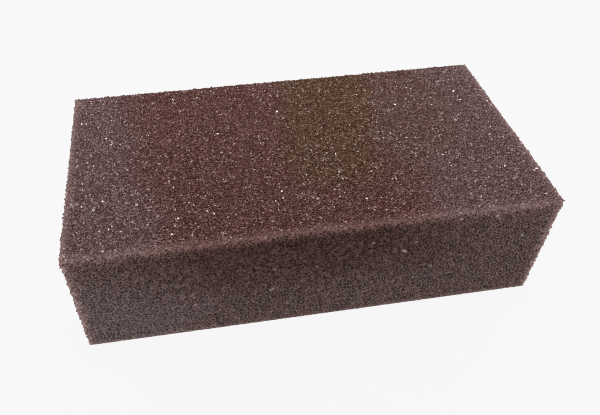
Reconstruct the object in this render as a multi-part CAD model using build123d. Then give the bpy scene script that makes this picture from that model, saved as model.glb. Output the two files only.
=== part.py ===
"""Floral foam brick: one plain block of dark brown open-cell foam, sawn square on all six faces.

Millimetres, +Z up. The origin is the centre of the base, X is the length, Y the width and Z the height.
The brick is a single piece of foam with nothing inside it, so the model is one solid in one node.
"""

from build123d import *
import os

# Driving dimensions
LENGTH = 200.0
WIDTH_SHARE = 0.52  # the width as a share of the length
HEIGHT_SHARE = 0.28  # the height as a share of the length
EDGE_RADIUS = 0.8  # sawn foam crumbles a little along its edges and corners

WIDTH = LENGTH * WIDTH_SHARE
HEIGHT = LENGTH * HEIGHT_SHARE


def foam_brick():
    """The block, standing on the ground plane, with its twelve edges eased."""
    block = Box(LENGTH, WIDTH, HEIGHT, align=(Align.CENTER, Align.CENTER, Align.MIN))
    return fillet(block.edges(), EDGE_RADIUS)


PARTS = {"foam_brick": foam_brick()}

os.makedirs("parts", exist_ok=True)
for node, shape in PARTS.items():
    export_step(shape, f"parts/{node}.step")
    print(node, "volume", round(shape.volume), "size", shape.bounding_box().size)
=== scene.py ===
"""The looks of the floral foam brick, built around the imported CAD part, in metres.

The brick is one closed mesh. Its skin is a net of cut foam cells: scattered cell centres cover the six faces,
the triangles between them give the strut junctions, and each cell is a cup between its junctions.
"""

import itertools
import math

import bpy
import numpy as np
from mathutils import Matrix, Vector
from mathutils.geometry import delaunay_2d_cdt


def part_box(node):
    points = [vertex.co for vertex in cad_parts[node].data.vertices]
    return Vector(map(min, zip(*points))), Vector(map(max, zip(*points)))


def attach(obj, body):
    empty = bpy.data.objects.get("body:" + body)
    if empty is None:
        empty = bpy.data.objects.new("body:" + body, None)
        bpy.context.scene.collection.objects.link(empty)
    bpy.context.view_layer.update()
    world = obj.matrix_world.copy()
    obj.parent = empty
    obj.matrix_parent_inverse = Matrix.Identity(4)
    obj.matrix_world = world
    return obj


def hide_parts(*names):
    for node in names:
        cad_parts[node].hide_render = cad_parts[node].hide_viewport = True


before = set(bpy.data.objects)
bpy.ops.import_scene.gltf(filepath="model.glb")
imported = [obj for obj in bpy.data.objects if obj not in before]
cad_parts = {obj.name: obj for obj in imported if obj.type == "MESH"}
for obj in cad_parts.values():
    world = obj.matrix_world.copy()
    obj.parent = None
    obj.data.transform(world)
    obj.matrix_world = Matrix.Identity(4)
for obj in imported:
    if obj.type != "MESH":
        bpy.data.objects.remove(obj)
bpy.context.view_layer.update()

MM = 0.001
SEED = 7

# The brick, from the CAD
LOW, HIGH = (np.array(corner, float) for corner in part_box("foam_brick"))
SIZE = HIGH - LOW
EDGE_RADIUS = 0.35 * MM  # crisper than the CAD's edges
# Its faces, as (axis of the normal, sign)
TOP, BASE = (2, 1), (2, -1)
BACK, FRONT = (1, 1), (1, -1)
RIGHT, LEFT = (0, 1), (0, -1)
FACES = (TOP, BASE, BACK, FRONT, RIGHT, LEFT)
ON_FACE = 1e-9  # how far from a face's plane a point may be and still belong to it

# The net of cells
CELL = 1.05 * MM  # from one cell's centre to the next
SIDE_CELL = (2.3 * MM, 0.88 * MM)  # on the side faces, along and up
SCATTER = (0.5, 0.5)  # how far a centre strays from its lattice place, in cells
SIDE_SCATTER = (0.6, 0.3)
EDGE_SCATTER = 0.25
LATTICE_MARGIN = 0.8  # from a face's edge to its lattice, in cells
RIM_GAP = 0.3 * MM  # the least way from a face's own cell centres to its edges

# The cups and films
STRUT_SHARE = (0.14, 0.34)  # the strut's half width, as a share of the way to the cell's centre
CUP_DEPTH = (0.35 * MM, 1.0 * MM)
EDGE_CUP = 0.35  # how deep a cup on an edge is, as a share of the others
EDGE_CUP_REACH = 0.6 * MM
RING_SUNK = 0.62  # how deep the ring inside a cup lies, as a share of the cup's depth
FILM_RING_SUNK = 0.9
RING_FOLLOWS = 0.3  # how much of a junction's dip the ring next to it takes over
FILM_SHARE = 0.14  # cells still closed by a thin film
SIDE_FILMS = 0.03  # how many of those the side faces have
FILM_DEPTH = (0.05 * MM, 0.22 * MM)
FILM_TILT = 0.3  # the spread of the films' slopes

# The cut surface
SKIN = 0.12 * MM  # how far the struts stand out of the CAD face
CUT_ROUGHNESS = 0.13 * MM
STUB_SHARE = (0.12, 0.2)  # cut struts that stand up: on the open face, and how many more along an edge
STUB_EDGE_REACH = 1.0 * MM
STUB_HEIGHT = (0.15 * MM, 0.5 * MM)
PROUD = 0.7 * MM  # the furthest a stub stands out of the CAD face
DEEPEST = 2.5 * MM  # the most that any point may sink under the CAD face
GLINT_SHARE = 0.16  # stubs whose cut end gets a painted glint
GLINT_PALE = (0.35, 1.0)
CHIP = 0.2 * MM  # how far the edges are crumbled away in places
CHIP_REACH = 1.5 * MM  # how far from the edge they are
CHIP_WAVES = (9 * MM, 23 * MM)  # how far apart the crumbled places are
CHIP_SPREAD = 0.15  # more makes the crumbled places longer
CHIP_EVERYWHERE = 0.2  # the share of the chipping that the whole edge has
UNTRUE = 0.06 * MM  # how far a sawn face is out of true
UNTRUE_WAVE = 61 * MM
FOOT = 3.0 * MM  # the height of the calm strip where the foam is pressed on the table
FOOT_RELIEF = 0.05  # the share of the relief left at the table

# Tones, which the material reads from the mesh
WALL_SHADE = (0.45, 0.75)  # painted shade: how far down the tone of a cell's wall is, on the top and on a side
FILM_PIT_SHADE = 0.5  # how much of that painted shade a film keeps
SIDE_SHADE = 0.36  # how much the side faces vary in tone, against the top
# Painted light: a paler colour near the edges, for light that comes through the foam there: (how strongly,
# how far from the edge)
NO_GLOW = (0.0, MM)
FOOT_GLOW = (0.06, 9.0 * MM)
UPRIGHT_GLOW = (0.55, 2.6 * MM)
END_GLOW = (0.5, 2.2 * MM)
FRONT_GLOW = (0.4, 3.2 * MM)
FRONT_GLOW_ON_TOP = (0.3, 3.0 * MM)
STUB_GLOW = 1.5  # how much more of it shows in a stub

# The unwrapped net, in mm
UV_GAP = 4.0
UV_WIDTH = 340.0


# ---------------------------------------------------------------- cell net

def spans_of(axis):
    """The two axes that a face with this normal spans."""
    return [i for i in range(3) if i != axis]


def plane_of(axis, sign):
    return (HIGH if sign > 0 else LOW)[axis]


def on_face(points, axis, sign):
    """Which points of the sharp box are on one of its faces."""
    return np.abs(points[:, axis] - plane_of(axis, sign)) < ON_FACE


def lies_flat(points):
    """Which points are on the top or the base, and not only on a side."""
    return on_face(points, *TOP) | on_face(points, *BASE)


def edge_nearness(points):
    """The distance from each point of the sharp box to the nearest edge of the box."""
    gaps = np.minimum(np.abs(points - LOW), np.abs(HIGH - points))
    return np.sort(gaps, axis=1)[:, 1]


def edge_centres(rng):
    """Cell centres on the twelve edges and eight corners of the box."""
    ends = np.array([LOW, HIGH])
    points = [[ends[i][0], ends[j][1], ends[k][2]] for i, j, k in itertools.product((0, 1), repeat=3)]
    for along in range(3):
        a, b = spans_of(along)
        count = round(SIZE[along] / CELL)
        for i, j in itertools.product((0, 1), repeat=2):
            steps = np.arange(1, count) + rng.uniform(-EDGE_SCATTER, EDGE_SCATTER, count - 1)
            line = np.empty((count - 1, 3))
            line[:, along] = LOW[along] + steps / count * SIZE[along]
            line[:, a] = ends[i][a]
            line[:, b] = ends[j][b]
            points.extend(line)
    return np.array(points)


def face_centres(rng, axis, sign):
    """Cell centres inside one face: a triangular lattice, scattered at random."""
    spans = spans_of(axis)
    steps = np.array((CELL, CELL) if axis == 2 else SIDE_CELL)
    scatter = np.array(SCATTER if axis == 2 else SIDE_SCATTER)
    room = SIZE[spans] - 2 * LATTICE_MARGIN * steps
    rows = round(room[1] / (steps[1] * math.sqrt(3) / 2))
    columns = round(room[0] / steps[0])
    grid_v, grid_u = np.mgrid[0:rows + 1, 0:columns + 1].astype(float)
    grid_u += 0.5 * (grid_v % 2) - 0.25
    flat = np.stack([grid_u / columns, grid_v / rows], -1).reshape(-1, 2) * room + LATTICE_MARGIN * steps
    turn = rng.uniform(0, 2 * math.pi, len(flat))
    reach = np.sqrt(rng.random(len(flat)))
    flat += np.stack([np.cos(turn), np.sin(turn)], -1) * reach[:, None] * scatter * steps
    flat = np.clip(flat, RIM_GAP, SIZE[spans] - RIM_GAP)
    points = np.empty((len(flat), 3))
    points[:, axis] = plane_of(axis, sign)
    points[:, spans] = flat + LOW[spans]
    return points


def cell_net(rng):
    """(cell centres, triangles between them turning outwards, each triangle's face number)."""
    rim = edge_centres(rng)
    centres, triangles, face_of = [rim], [], []
    total = len(rim)
    for number, (axis, sign) in enumerate(FACES):
        inner = face_centres(rng, axis, sign)
        on_rim = np.flatnonzero(on_face(rim, axis, sign))
        index = np.concatenate([on_rim, total + np.arange(len(inner))])
        flat = np.concatenate([rim[on_rim], inner])[:, spans_of(axis)] / CELL
        made = delaunay_2d_cdt([Vector(p) for p in flat], [], [], 0, 1e-9)
        order = np.array([ids[0] for ids in made[3]])
        corners = index[order[np.array(made[2])]]
        outward = sign if axis != 1 else -sign
        triangles.append(corners if outward > 0 else corners[:, ::-1])
        face_of.append(np.full(len(corners), number))
        centres.append(inner)
        total += len(inner)
    return np.concatenate(centres), np.concatenate(triangles), np.concatenate(face_of)


def next_around(triangles, count):
    """For each triangle corner, the number of the same cell's corner in the next triangle round it."""
    start = triangles.ravel()
    key = start * count + np.roll(triangles, -1, axis=1).ravel()
    wanted = start * count + np.roll(triangles, 1, axis=1).ravel()
    order = np.argsort(key)
    return order[np.searchsorted(key[order], wanted)]


# ---------------------------------------------------------------- relief and tones

def on_round_box(points):
    """(points of the sharp box moved onto its rounded edges, the outward direction at each)."""
    inner = np.clip(points, LOW + EDGE_RADIUS, HIGH - EDGE_RADIUS)
    out = points - inner
    out /= np.linalg.norm(out, axis=1, keepdims=True)
    return inner + EDGE_RADIUS * out, out


def waves(points, length):
    """A smooth uneven field between about -1 and 1, whose bumps are length apart."""
    turns = 2 * math.pi * points / length
    x, y, z = turns.T
    return (np.sin(x + 1.3 * np.sin(0.7 * y + z)) + np.sin(1.31 * y + 1.1 * np.sin(0.9 * z + 0.8 * x))
            + np.sin(1.17 * z + 1.7 * np.sin(0.6 * x + 1.1 * y))) / 2.2


def calm(points):
    """The share of its relief that the cut keeps: little at the foot, where it is pressed on the table."""
    return FOOT_RELIEF + (1 - FOOT_RELIEF) * np.clip(points[:, 2] / FOOT, 0, 1)


def chipping(points):
    """How deep the edges are crumbled away, and how far the sawn faces are out of true."""
    edge = np.exp(-edge_nearness(points) / CHIP_REACH)
    fine, coarse = (waves(points, length) for length in CHIP_WAVES)
    crumble = np.clip(fine * coarse + CHIP_SPREAD, 0, 1)
    chip = CHIP * edge * (CHIP_EVERYWHERE + crumble)
    return calm(points) * (chip + UNTRUE * (1 + waves(points, UNTRUE_WAVE)))


def heights(rng, centres, junctions, ring, triangle, cell, flat):
    """(each point's height above the CAD face, which cells keep a film, which junctions are stubs)."""
    film = rng.random(len(centres)) < FILM_SHARE * np.where(lies_flat(centres), 1.0, SIDE_FILMS)
    film_depth = rng.uniform(*FILM_DEPTH, len(centres))
    depth = np.where(film, film_depth, rng.uniform(*CUP_DEPTH, len(centres)))
    edge = np.exp(-edge_nearness(centres) / EDGE_CUP_REACH)
    depth *= calm(centres) * (1 - (1 - EDGE_CUP) * edge)

    tops = rng.normal(0, CUT_ROUGHNESS, len(junctions))
    stub_share = STUB_SHARE[0] + STUB_SHARE[1] * np.exp(-edge_nearness(junctions) / STUB_EDGE_REACH)
    stub = rng.random(len(junctions)) < stub_share
    tops += stub * rng.uniform(*STUB_HEIGHT, len(junctions))
    tops *= calm(junctions)

    slope = rng.normal(0, FILM_TILT, (len(centres), 3)) * film[:, None]
    tilt = ((ring - centres[cell]) * slope[cell]).sum(1)
    sunk = np.where(film, FILM_RING_SUNK, RING_SUNK)
    ring_height = np.minimum(tops[triangle], 0) * RING_FOLLOWS - depth[cell] * sunk[cell] + tilt
    height = np.concatenate([tops, ring_height, -depth]) + SKIN - chipping(flat)
    return height, film, stub


def glow_near(face, neighbour):
    """(how strongly, how far) painted light, for light that comes through, lies on a face near the edge that
    it shares with a neighbour.
    """
    edge = (face, neighbour)
    if BASE in edge:
        return FOOT_GLOW
    if TOP not in edge:
        return UPRIGHT_GLOW
    if FRONT in edge:
        return FRONT_GLOW_ON_TOP if face == TOP else FRONT_GLOW
    return NO_GLOW if BACK in edge else END_GLOW


def edge_glow(points):
    """How much painted light, for light that comes through, each point gets from the edges close by."""
    glow = np.zeros(len(points))
    for face, neighbour in itertools.permutations(FACES, 2):
        if face[0] != neighbour[0]:
            strength, reach = glow_near(face, neighbour)
            here = on_face(points, *face)
            away = np.abs(points[here, neighbour[0]] - plane_of(*neighbour))
            glow[here] = np.maximum(glow[here], strength * np.exp(-(away / reach) ** 2))
    return glow


def tones(rng, centres, junctions, ring, cell, flat, film, stub):
    """What the material reads at each point, from 0 to 1: pit (painted shade down the cells), film, shade
    (tone at random, palest as painted light on standing stubs), glow (painted light near the edges) and nick
    (painted glints).
    """
    count = len(junctions)
    # painted shade: the walls and bottoms of the cells are made darker
    wall = np.where(lies_flat(ring), *WALL_SHADE)
    pit_shade = np.concatenate([np.zeros(count), wall, np.ones(len(centres))])
    covered = np.concatenate([np.zeros(count, bool), film[cell], film])
    spread = np.where(lies_flat(flat), 1.0, SIDE_SHADE)
    shade = 0.5 + spread * (rng.random(len(flat)) - 0.5)
    # painted light: the standing stubs on the top take the palest tone, as though lit from behind
    shade[:count][stub & lies_flat(junctions)] = 1.0
    glow = edge_glow(flat)
    glow[:count][stub] *= STUB_GLOW
    # painted glints: pale cut ends on some of the top's standing stubs
    glinting = rng.random(count) < GLINT_SHARE
    glint = np.zeros(len(flat))
    glint[:count] = stub * lies_flat(junctions) * glinting * rng.uniform(*GLINT_PALE, count)
    pit_shade = np.where(covered, FILM_PIT_SHADE * pit_shade, pit_shade)
    return {"pit_shade": pit_shade, "film": covered, "shade": shade, "glow": glow, "glint": glint}


# ---------------------------------------------------------------- brick

def unwrapped(points, number):
    """Where points of the sharp box lie in the unwrapped net, seen from one face's plane."""
    axis, sign = FACES[number]
    spans = spans_of(axis)
    over = np.abs(points[:, axis] - plane_of(axis, sign))
    local = points[:, spans] - LOW[spans]
    for i, span in enumerate(spans):
        at_low = points[:, span] <= LOW[span]
        at_high = points[:, span] >= HIGH[span]
        local[:, i] += over * at_high - over * at_low
    if axis != 0:
        local = local[:, ::-1]
    length, width, height = SIZE / MM
    # the four long faces stand side by side in the first row, and the two ends in the second
    after_top = width + UV_GAP
    after_base = 2 * after_top
    columns = (0.0, after_top, after_base, after_base + height + UV_GAP, 0.0, after_top)
    row = UV_GAP if axis != 0 else 2 * UV_GAP + length
    corner = np.array([UV_GAP + columns[number], row])
    return (local / MM + corner) / UV_WIDTH


def foam_brick(material):
    """The whole brick: junctions of the struts, a ring inside each cell, and each cell's bottom."""
    rng = np.random.default_rng(SEED)
    centres, triangles, face_of = cell_net(rng)
    cell = triangles.ravel()
    following = next_around(triangles, len(centres))
    triangle = np.arange(len(cell)) // 3

    # the places on the sharp box, before the relief
    junctions = centres[triangles].mean(axis=1)
    strut = rng.uniform(*STRUT_SHARE, len(cell))[:, None]
    ring = junctions[triangle] * (1 - strut) + centres[cell] * strut
    flat = np.concatenate([junctions, ring, centres])

    height, film, stub = heights(rng, centres, junctions, ring, triangle, cell, flat)
    base, out = on_round_box(flat)
    points = base + out * np.clip(height, -DEEPEST, PROUD)[:, None]
    points[:, 2] = np.maximum(points[:, 2], 0)

    first_ring = len(junctions)
    first_centre = first_ring + len(cell)
    ring_here = first_ring + np.arange(len(cell))
    ring_next = first_ring + following
    struts = np.stack([triangle, triangle[following], ring_next, ring_here], -1)
    cups = np.stack([ring_here, ring_next, first_centre + cell], -1)
    loops = np.concatenate([struts.ravel(), cups.ravel()])
    starts = np.concatenate([np.arange(len(cell)) * 4, struts.size + np.arange(len(cell)) * 3])

    mesh = bpy.data.meshes.new("foam_brick_looks")
    mesh.vertices.add(len(points))
    mesh.vertices.foreach_set("co", points.astype(np.float32).ravel())
    mesh.loops.add(len(loops))
    mesh.loops.foreach_set("vertex_index", loops.astype(np.int32))
    mesh.polygons.add(len(starts))
    mesh.polygons.foreach_set("loop_start", starts.astype(np.int32))
    mesh.update(calc_edges=True)

    uv = np.empty((len(loops), 2))
    face_here = face_of[triangle]
    number = np.concatenate([np.repeat(face_here, 4), np.repeat(face_here, 3)])
    for face in range(len(FACES)):
        here = number == face
        uv[here] = unwrapped(flat[loops[here]], face)
    mesh.uv_layers.new(name="OFBake").data.foreach_set("uv", uv.astype(np.float32).ravel())

    for name, values in tones(rng, centres, junctions, ring, cell, flat, film, stub).items():
        layer = mesh.attributes.new(name, "FLOAT", "POINT")
        layer.data.foreach_set("value", values.astype(np.float32))
    mesh.polygons.foreach_set("use_smooth", np.concatenate([np.ones(len(cell), bool), ~film[cell]]))
    mesh.materials.append(material)
    piece = bpy.data.objects.new("foam_brick_skin", mesh)
    bpy.context.scene.collection.objects.link(piece)
    return piece


# ---------------------------------------------------------------- materials

class Nodes:
    """A material's node tree, with short ways to add and link nodes."""

    def __init__(self, name):
        self.material = bpy.data.materials.new(name)
        self.material.use_nodes = True
        self.tree = self.material.node_tree
        self.shader = self.tree.nodes["Principled BSDF"]

    def add(self, kind, inputs=(), **settings):
        node = self.tree.nodes.new(kind)
        for key, value in settings.items():
            setattr(node, key, value)
        for key, value in dict(inputs).items():
            self.put(value, node.inputs[key])
        return node

    def put(self, value, socket):
        """A link where value is a socket, and a plain value otherwise."""
        if isinstance(value, bpy.types.NodeSocket):
            self.tree.links.new(value, socket)
        else:
            socket.default_value = value

    def attribute(self, name):
        return self.add("ShaderNodeAttribute", attribute_name=name).outputs["Fac"]

    def math(self, operation, a, b=0.0):
        return self.add("ShaderNodeMath", {0: a, 1: b}, operation=operation).outputs[0]

    def vector(self, operation, a, b):
        return self.add("ShaderNodeVectorMath", {0: a, 1: b}, operation=operation).outputs[0]

    def ramp(self, value, start, end, low, high):
        """value from start to end becomes low to high, smoothly."""
        inputs = {"Value": value, "From Min": start, "From Max": end, "To Min": low, "To Max": high}
        return self.add("ShaderNodeMapRange", inputs, interpolation_type="SMOOTHSTEP").outputs[0]

    def mix(self, share, a, b, blend="MIX"):
        node = self.add("ShaderNodeMix", data_type="RGBA", blend_type=blend)
        factor, first, second = node.inputs[0], node.inputs[6], node.inputs[7]
        self.put(share, factor)
        self.put(a, first)
        self.put(b, second)
        return node.outputs[2]


# Struts of a middling tone
MAUVE = (0.168, 0.0975, 0.0935, 1)
MAROON = (0.149, 0.0665, 0.056, 1)
OLIVE = (0.1355, 0.070, 0.0435, 1)
TAN = (0.148, 0.078, 0.066, 1)
SIDE = (0.152, 0.107, 0.101, 1)
# painted light: a paler, greyer tone low on the front's left end
PAINTED_LIGHT_GREY = (0.187, 0.140, 0.139, 1)
# painted shade: a darker tone across the upper middle of the front
FRONT_SHADE = (0.071, 0.0385, 0.0325, 1)
# Painted shade at the bottoms of the cells
PIT_SHADE = (0.031, 0.0098, 0.0078, 1)
PALE_PIT_SHADE = (0.068, 0.035, 0.031, 1)
PIT_SHADE_IN_PAINTED_LIGHT = (0.090, 0.058, 0.058, 1)
# The palest struts against the middling ones, and those against the darkest
TONE_STEP = (1.85, 2.38, 2.55, 1)
# Painted light near the edges, for foam with light coming through, and painted glints on the cut ends
PAINTED_GLOW = (0.38, 0.25, 0.235, 1)
PAINTED_GLOW_MAROON = (0.38, 0.215, 0.19, 1)
PAINTED_GLINT = (0.88, 0.65, 0.605, 1)

# Where the hue drifts, in metres. A patch leans over by slant metres per metre along y, its border wanders by
# about half of sway, and it fades out between the two border numbers, where 1 is its full size.
MAROON_PATCH = {"middle": (-0.0135, 0.0, 0.060), "half": (0.061, 0.090, 0.012), "slant": -0.10,
                "sway": (0.02, 0.02, 0.0), "border": (0.75, 1.12)}
OLIVE_PATCH = {"middle": (0.020, 0.030, 0.060), "half": (0.0224, 0.058, 0.012), "slant": 0.16,
               "sway": (0.02, 0.02, 0.0), "border": (0.88, 1.12)}
TAN_PATCH = {"middle": (0.054, 0.040, 0.060), "half": (0.026, 0.060, 0.012), "slant": 0.0,
             "sway": (0.02, 0.02, 0.0), "border": (0.5, 1.5)}
SIDE_PATCH = {"middle": (0.0, 0.0, 0.0), "half": (0.2, 0.2, 0.051), "slant": 0.0,
              "sway": (0.0, 0.0, 0.0), "border": (0.9, 1.1)}
# painted light: the paler, greyer place low on the front's left end
PAINTED_LIGHT_PATCH = {"middle": (-0.098, -0.0526, 0.0), "half": (0.050, 0.002, 0.042), "slant": 0.0,
               "sway": (0.01, 0.0, 0.01), "border": (0.4, 1.3)}
# painted shade: the darker upper middle of the front
FRONT_SHADE_PATCH = {"middle": (-0.007, -0.0526, 0.055), "half": (0.078, 0.002, 0.035), "slant": 0.0,
              "sway": (0.01, 0.0, 0.01), "border": (0.3, 1.25)}
PATCH_WANDER = 45.0  # how many times per metre a patch's border wanders

DEEPEST_PIT_SHADE = 0.95  # how much of the painted pit shade shows at a cell's bottom
GRAIN = 4200.0  # grains per metre on the struts
GRAIN_BUMP = 0.06 * MM
GRAIN_STRENGTH = 0.35
ROUGHNESS = (0.55, 0.8)
SPECULAR = 0.06  # the foam hardly shines, except for its films
FILM_EDGE = (0.4, 0.9)  # the mesh's film value where the shine starts, and where it is full
FILM_COAT = 0.65
FILM_ROUGHNESS = 0.12


def patch(n, place, middle, half, slant, sway, border):
    """1 in the middle of a rounded box of that half size, 0 outside, with a soft border that sways."""
    noise = n.add("ShaderNodeTexNoise", {"Vector": place, "Scale": PATCH_WANDER, "Detail": 2.0})
    wander = n.vector("MULTIPLY", n.vector("SUBTRACT", noise.outputs["Color"], (0.5, 0.5, 0.5)), sway)
    away = n.vector("SUBTRACT", n.vector("ADD", place, wander), middle)
    x, y, z = n.add("ShaderNodeSeparateXYZ", {"Vector": away}).outputs
    x = n.math("SUBTRACT", x, n.math("MULTIPLY", y, slant))
    shares = [n.math("ABSOLUTE", n.math("DIVIDE", way, room)) for way, room in zip((x, y, z), half)]
    a, b, c = (n.math("POWER", share, 4.0) for share in shares)
    size = n.math("POWER", n.math("ADD", a, n.math("ADD", b, c)), 0.25)
    return n.ramp(size, *border, 1.0, 0.0)


def foam_material():
    """Dark brown open-cell foam: pale strut tops, cells darkened by painted shade, shiny films, a hue that
    drifts, painted light and shade on the front, painted light near the edges and painted glints.
    """
    n = Nodes("brown foam")
    place = n.add("ShaderNodeTexCoord").outputs["Object"]
    pit_shade, film, shade, glow, glint = (n.attribute(name) for name in ("pit_shade", "film", "shade", "glow", "glint"))

    maroon = patch(n, place, **MAROON_PATCH)
    painted_light = patch(n, place, **PAINTED_LIGHT_PATCH)
    hue = n.mix(maroon, MAUVE, MAROON)
    hue = n.mix(patch(n, place, **TAN_PATCH), hue, TAN)
    hue = n.mix(patch(n, place, **OLIVE_PATCH), hue, OLIVE)
    hue = n.mix(patch(n, place, **SIDE_PATCH), hue, SIDE)
    # painted light: paler and greyer low on the front's left end
    hue = n.mix(painted_light, hue, PAINTED_LIGHT_GREY)
    # painted shade: darker across the upper middle of the front
    hue = n.mix(patch(n, place, **FRONT_SHADE_PATCH), hue, FRONT_SHADE)
    step = n.ramp(shade, 0.0, 1.0, -1.0, 1.0)
    tone = n.add("ShaderNodeGamma", {"Color": TONE_STEP, "Gamma": step}).outputs[0]
    hue = n.mix(1.0, hue, tone, "MULTIPLY")
    # painted shade in the cells, paler inside the patch of painted light
    pit_shades = n.mix(painted_light, n.mix(maroon, PALE_PIT_SHADE, PIT_SHADE), PIT_SHADE_IN_PAINTED_LIGHT)
    hue = n.mix(n.ramp(pit_shade, 0.0, 1.0, 0.0, DEEPEST_PIT_SHADE), hue, pit_shades)
    # painted light near the edges, for light that comes through the foam
    hue = n.mix(glow, hue, n.mix(maroon, PAINTED_GLOW, PAINTED_GLOW_MAROON))
    # painted glints on the cut ends
    hue = n.mix(glint, hue, PAINTED_GLINT)
    n.put(hue, n.shader.inputs["Base Color"])

    grain = n.add("ShaderNodeTexNoise", {"Scale": GRAIN, "Detail": 2.0, "Vector": place}).outputs["Fac"]
    n.put(n.ramp(grain, 0.3, 0.7, *ROUGHNESS), n.shader.inputs["Roughness"])
    n.put(n.ramp(film, *FILM_EDGE, 0.0, FILM_COAT), n.shader.inputs["Coat Weight"])
    n.shader.inputs["Coat Roughness"].default_value = FILM_ROUGHNESS
    n.shader.inputs["Specular IOR Level"].default_value = SPECULAR
    bump = n.add("ShaderNodeBump", {"Height": grain, "Strength": GRAIN_STRENGTH, "Distance": GRAIN_BUMP})
    n.put(bump.outputs["Normal"], n.shader.inputs["Normal"])
    return n.material


# ---------------------------------------------------------------- studio

TABLE_COLOUR = (0.03, 0.03, 0.03, 1)  # dark, so that it shows its glow and hardly any shadow
TABLE_SEEN = 0.91  # how bright the table is for the camera
BOUNCE = (2.55, 0.9)  # how brightly the table in front of the brick lights it, and the table behind
BOUNCE_REACH = 0.15  # where along y those two are reached
TABLE_SIDE = 3.0
TABLE_BELOW = 0.0002  # how far the table lies under the base, so that the two don't flicker

CAMERA_AT = (-0.0478, -0.2054, 0.2273)
CAMERA_TURN = 9.56  # degrees to the right of +Y
CAMERA_DOWN = 45.0
CAMERA_ROLL = 0.21
CAMERA_LENS = 36.31
CAMERA_SHIFT = 0.0527

PIXEL_FILTER = 1.1  # in pixels
SKY = (0.93, 0.93, 0.935, 1)
SKY_LIGHT = 0.3  # how brightly the sky lights the brick, where the camera sees it at 1
LAMP_TARGET = (0, 0, 0.03)
LAMPS = (  # name, place, size, watts
    ("back middle", (0.15, 1.0, 1.0), 0.16, 4),
    ("back left", (-0.7, 0.8, 0.9), 0.16, 4),
    ("back right", (0.9, 0.7, 0.9), 0.16, 4),
    ("overhead", (0.0, 0.1, 1.3), 0.4, 7.3),
)


def table_material():
    """A white table that glows a little, as an overexposed one does, so it hardly takes a shadow."""
    n = Nodes("white table")
    n.put(TABLE_COLOUR, n.shader.inputs["Base Color"])
    n.shader.inputs["Roughness"].default_value = 0.9
    n.shader.inputs["Specular IOR Level"].default_value = 0.0
    place = n.add("ShaderNodeTexCoord").outputs["Object"]
    y = n.add("ShaderNodeSeparateXYZ", {"Vector": place}).outputs["Y"]
    bounce = n.ramp(y, -BOUNCE_REACH, BOUNCE_REACH, *BOUNCE)
    seen = n.add("ShaderNodeLightPath").outputs["Is Camera Ray"]
    for_brick = n.math("MULTIPLY", n.math("SUBTRACT", 1.0, seen), bounce)
    for_camera = n.math("MULTIPLY", seen, TABLE_SEEN)
    n.shader.inputs["Emission Color"].default_value = (1, 1, 1, 1)
    n.put(n.math("ADD", for_brick, for_camera), n.shader.inputs["Emission Strength"])
    return n.material


def table():
    mesh = bpy.data.meshes.new("floor")
    turns = ((-1, -1), (1, -1), (1, 1), (-1, 1))
    corners = [(x * TABLE_SIDE, y * TABLE_SIDE, -TABLE_BELOW) for x, y in turns]
    mesh.from_pydata(corners, [], [(0, 1, 2, 3)])
    mesh.materials.append(table_material())
    ground = bpy.data.objects.new("floor", mesh)
    bpy.context.scene.collection.objects.link(ground)


def camera():
    data = bpy.data.cameras.new("camera")
    data.lens = CAMERA_LENS
    data.sensor_width = 36.0
    data.shift_x = CAMERA_SHIFT
    data.clip_start = 0.01
    eye = bpy.data.objects.new("camera", data)
    eye.location = CAMERA_AT
    eye.rotation_euler = (math.radians(90 - CAMERA_DOWN), 0, math.radians(-CAMERA_TURN))
    eye.rotation_euler.rotate_axis("Z", math.radians(CAMERA_ROLL))
    bpy.context.scene.collection.objects.link(eye)
    bpy.context.scene.camera = eye


def lamp(name, place, size, watts):
    data = bpy.data.lights.new(name, "AREA")
    data.size = size
    data.energy = watts
    light = bpy.data.objects.new(name, data)
    light.location = place
    light.rotation_euler = (Vector(LAMP_TARGET) - Vector(place)).to_track_quat("-Z", "Y").to_euler()
    light.visible_camera = False
    bpy.context.scene.collection.objects.link(light)


def sky():
    """A white room that the camera sees bright and that lights the brick dimly."""
    world = bpy.data.worlds.new("studio")
    world.use_nodes = True
    tree = world.node_tree
    seen = tree.nodes.new("ShaderNodeLightPath").outputs["Is Camera Ray"]
    strength = tree.nodes.new("ShaderNodeMapRange")
    strength.inputs["To Min"].default_value = SKY_LIGHT
    strength.inputs["To Max"].default_value = 1.0
    background = tree.nodes["Background"]
    tree.links.new(seen, strength.inputs["Value"])
    tree.links.new(strength.outputs[0], background.inputs["Strength"])
    background.inputs["Color"].default_value = SKY
    bpy.context.scene.world = world


def studio():
    sky()
    for settings in LAMPS:
        lamp(*settings)
    scene = bpy.context.scene
    scene.view_settings.view_transform = "Standard"
    # the foam's grain is as fine as a pixel, and denoising or a wide filter would wipe it out
    scene.cycles.use_denoising = False
    scene.cycles.filter_width = PIXEL_FILTER


studio()
camera()
table()
brick = foam_brick(foam_material())
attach(brick, "root")
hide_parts("foam_brick")
